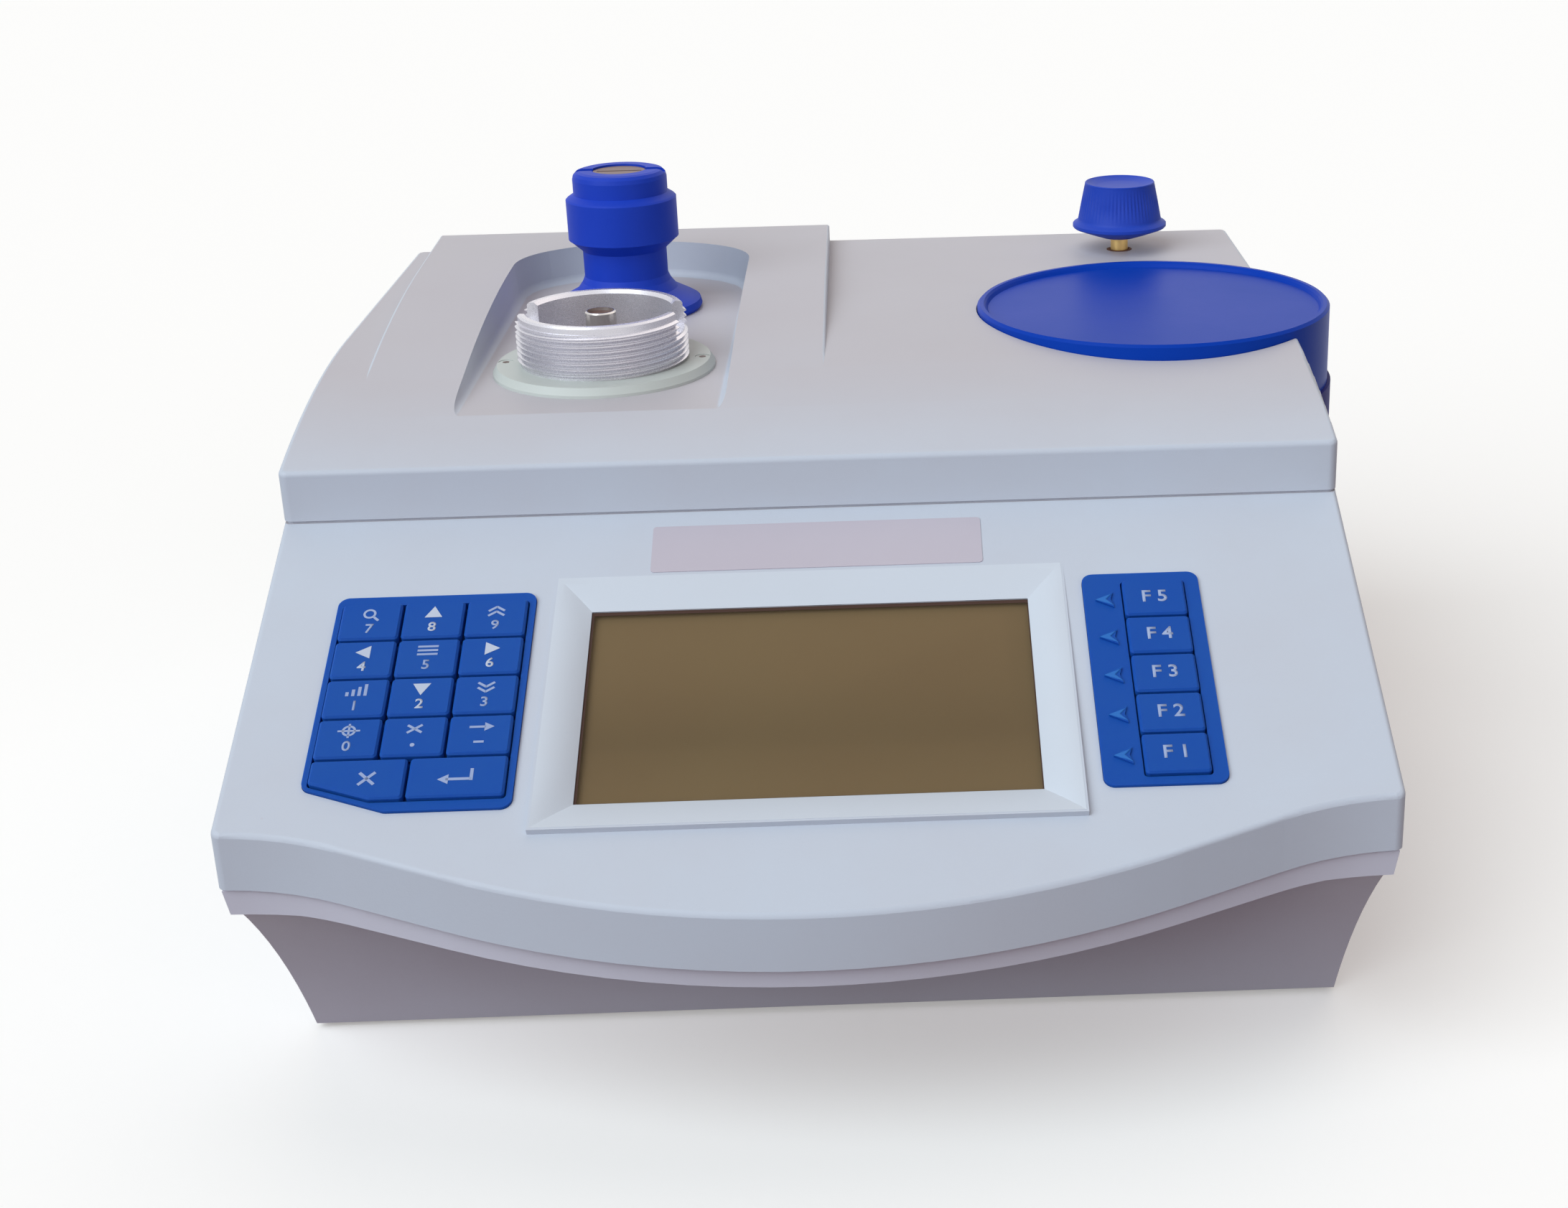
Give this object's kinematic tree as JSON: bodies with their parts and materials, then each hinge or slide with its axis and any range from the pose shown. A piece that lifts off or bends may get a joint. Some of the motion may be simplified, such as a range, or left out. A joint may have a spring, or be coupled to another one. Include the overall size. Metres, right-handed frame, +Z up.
{
  "type": "automatic titrator",
  "caption": "Bench titrator with a sloped keypad and display panel, a threaded burette collar and valve post in a scooped bay, and a round stirrer tray.",
  "frame": {"origin": "on the bench, under the middle of the instrument's overall footprint", "axes": "+Z up, +Y from the operator to the rear, +X to the operator's right"},
  "size_m": [0.36, 0.41, 0.2266],
  "materials": {
    "housing_plastic": "fine satin moulding, pale grey-white",
    "blue_rubber": "matte silicone",
    "blue_plastic": "satin moulding",
    "flange_plastic": "satin",
    "turned_aluminium": "bright turned",
    "plate_aluminium": "satin anodised",
    "ground_steel": "ground",
    "magnet_dark": "dark magnet",
    "bronze": "sintered bronze",
    "brass": "turned brass",
    "window": "clear acrylic",
    "lcd": "unlit display, olive brown",
    "board": "circuit board",
    "motor_black": "black enamel",
    "supply_case": "folded case",
    "black_plastic": "moulded",
    "nickel": "nickel plated",
    "rubber_black": "moulded rubber",
    "zinc_screw": "zinc plated"
  },
  "bodies": {
    "housing": {"base_shell": "housing_plastic", "rubber_feet": "rubber_black", "base_screws": "zinc_screw", "control_housing": "housing_plastic", "rear_cover": "housing_plastic", "display_window": "window", "lcd_module": "lcd", "keypad_mat": "blue_rubber", "keypad_board": "board", "function_pad": "blue_rubber", "function_board": "board", "ring_flange": "flange_plastic", "burette_ring": "turned_aluminium", "flange_screws": "zinc_screw", "rod_bush": "bronze", "drive_frame": "plate_aluminium", "guide_rods": "ground_steel", "drive_motor": "motor_black", "valve_post": "blue_plastic", "valve_motor": "motor_black", "beaker_tray": "blue_plastic", "stirrer_pod": "blue_plastic", "stirrer_motor": "motor_black", "speed_pot": "motor_black", "rear_panel": "plate_aluminium", "power_inlet": "black_plastic", "switch_frame": "black_plastic", "electrode_sockets": "nickel", "round_sockets": "nickel", "serial_port": "nickel", "main_board": "board", "power_supply": "supply_case"},
    "push_rod": {"push_rod": "ground_steel", "rod_cap": "magnet_dark", "drive_carriage": "bronze"},
    "lead_screw": {"lead_screw": "ground_steel"},
    "valve_coupling": {"valve_coupling": "bronze"},
    "stirrer_rotor": {"stirrer_rotor": "magnet_dark"},
    "speed_knob": {"speed_knob": "blue_plastic", "knob_shaft": "brass"},
    "switch_rocker": {"switch_rocker": "black_plastic"},
    "key_cancel": {"key_cancel": "blue_rubber"},
    "key_enter": {"key_enter": "blue_rubber"},
    "key_0": {"key_0": "blue_rubber"},
    "key_point": {"key_point": "blue_rubber"},
    "key_minus": {"key_minus": "blue_rubber"},
    "key_1": {"key_1": "blue_rubber"},
    "key_2": {"key_2": "blue_rubber"},
    "key_3": {"key_3": "blue_rubber"},
    "key_4": {"key_4": "blue_rubber"},
    "key_5": {"key_5": "blue_rubber"},
    "key_6": {"key_6": "blue_rubber"},
    "key_7": {"key_7": "blue_rubber"},
    "key_8": {"key_8": "blue_rubber"},
    "key_9": {"key_9": "blue_rubber"},
    "key_f1": {"key_f1": "blue_rubber"},
    "key_f2": {"key_f2": "blue_rubber"},
    "key_f3": {"key_f3": "blue_rubber"},
    "key_f4": {"key_f4": "blue_rubber"},
    "key_f5": {"key_f5": "blue_rubber"}
  },
  "joints": [
    {"name": "rod_slide", "type": "slide", "parent": "housing", "child": "push_rod", "axis": [0, 0, 1], "range_m": [0, 0.05]},
    {"name": "screw_turn", "type": "hinge", "parent": "housing", "child": "lead_screw", "pos_m": [-0.0843, 0.02996, 0.1], "axis": [0, 0, 1], "range_deg": [-2251, 0]},
    {"name": "valve_turn", "type": "hinge", "parent": "housing", "child": "valve_coupling", "pos_m": [-0.0843, 0.11696, 0.2], "axis": [0, 0, 1], "range_deg": [0, 120]},
    {"name": "rotor_spin", "type": "hinge", "parent": "housing", "child": "stirrer_rotor", "pos_m": [0.114, 0.06696, 0.16], "axis": [0, 0, 1], "continuous": true},
    {"name": "knob_turn", "type": "hinge", "parent": "housing", "child": "speed_knob", "pos_m": [0.1116, 0.16296, 0.19], "axis": [0, 0, 1], "range_deg": [-150, 150]},
    {"name": "rocker_tilt", "type": "hinge", "parent": "housing", "child": "switch_rocker", "pos_m": [-0.052, 0.19356, 0.111], "axis": [-1, 0, 0], "range_deg": [0, 9]},
    {"name": "key_cancel_press", "type": "slide", "parent": "housing", "child": "key_cancel", "axis": [0, 0.408, -0.913], "range_m": [0, 0.0012], "stiffness_N_per_m": 500},
    {"name": "key_enter_press", "type": "slide", "parent": "housing", "child": "key_enter", "axis": [0, 0.408, -0.913], "range_m": [0, 0.0012], "stiffness_N_per_m": 500},
    {"name": "key_0_press", "type": "slide", "parent": "housing", "child": "key_0", "axis": [0, 0.408, -0.913], "range_m": [0, 0.0012], "stiffness_N_per_m": 500},
    {"name": "key_point_press", "type": "slide", "parent": "housing", "child": "key_point", "axis": [0, 0.408, -0.913], "range_m": [0, 0.0012], "stiffness_N_per_m": 500},
    {"name": "key_minus_press", "type": "slide", "parent": "housing", "child": "key_minus", "axis": [0, 0.408, -0.913], "range_m": [0, 0.0012], "stiffness_N_per_m": 500},
    {"name": "key_1_press", "type": "slide", "parent": "housing", "child": "key_1", "axis": [0, 0.408, -0.913], "range_m": [0, 0.0012], "stiffness_N_per_m": 500},
    {"name": "key_2_press", "type": "slide", "parent": "housing", "child": "key_2", "axis": [0, 0.408, -0.913], "range_m": [0, 0.0012], "stiffness_N_per_m": 500},
    {"name": "key_3_press", "type": "slide", "parent": "housing", "child": "key_3", "axis": [0, 0.408, -0.913], "range_m": [0, 0.0012], "stiffness_N_per_m": 500},
    {"name": "key_4_press", "type": "slide", "parent": "housing", "child": "key_4", "axis": [0, 0.408, -0.913], "range_m": [0, 0.0012], "stiffness_N_per_m": 500},
    {"name": "key_5_press", "type": "slide", "parent": "housing", "child": "key_5", "axis": [0, 0.408, -0.913], "range_m": [0, 0.0012], "stiffness_N_per_m": 500},
    {"name": "key_6_press", "type": "slide", "parent": "housing", "child": "key_6", "axis": [0, 0.408, -0.913], "range_m": [0, 0.0012], "stiffness_N_per_m": 500},
    {"name": "key_7_press", "type": "slide", "parent": "housing", "child": "key_7", "axis": [0, 0.408, -0.913], "range_m": [0, 0.0012], "stiffness_N_per_m": 500},
    {"name": "key_8_press", "type": "slide", "parent": "housing", "child": "key_8", "axis": [0, 0.408, -0.913], "range_m": [0, 0.0012], "stiffness_N_per_m": 500},
    {"name": "key_9_press", "type": "slide", "parent": "housing", "child": "key_9", "axis": [0, 0.408, -0.913], "range_m": [0, 0.0012], "stiffness_N_per_m": 500},
    {"name": "key_f1_press", "type": "slide", "parent": "housing", "child": "key_f1", "axis": [0, 0.408, -0.913], "range_m": [0, 0.0012], "stiffness_N_per_m": 500},
    {"name": "key_f2_press", "type": "slide", "parent": "housing", "child": "key_f2", "axis": [0, 0.408, -0.913], "range_m": [0, 0.0012], "stiffness_N_per_m": 500},
    {"name": "key_f3_press", "type": "slide", "parent": "housing", "child": "key_f3", "axis": [0, 0.408, -0.913], "range_m": [0, 0.0012], "stiffness_N_per_m": 500},
    {"name": "key_f4_press", "type": "slide", "parent": "housing", "child": "key_f4", "axis": [0, 0.408, -0.913], "range_m": [0, 0.0012], "stiffness_N_per_m": 500},
    {"name": "key_f5_press", "type": "slide", "parent": "housing", "child": "key_f5", "axis": [0, 0.408, -0.913], "range_m": [0, 0.0012], "stiffness_N_per_m": 500}
  ],
  "couplings": [
    {"joint": "screw_turn", "follows": "rod_slide", "rad_per_m": -785.4}
  ]
}
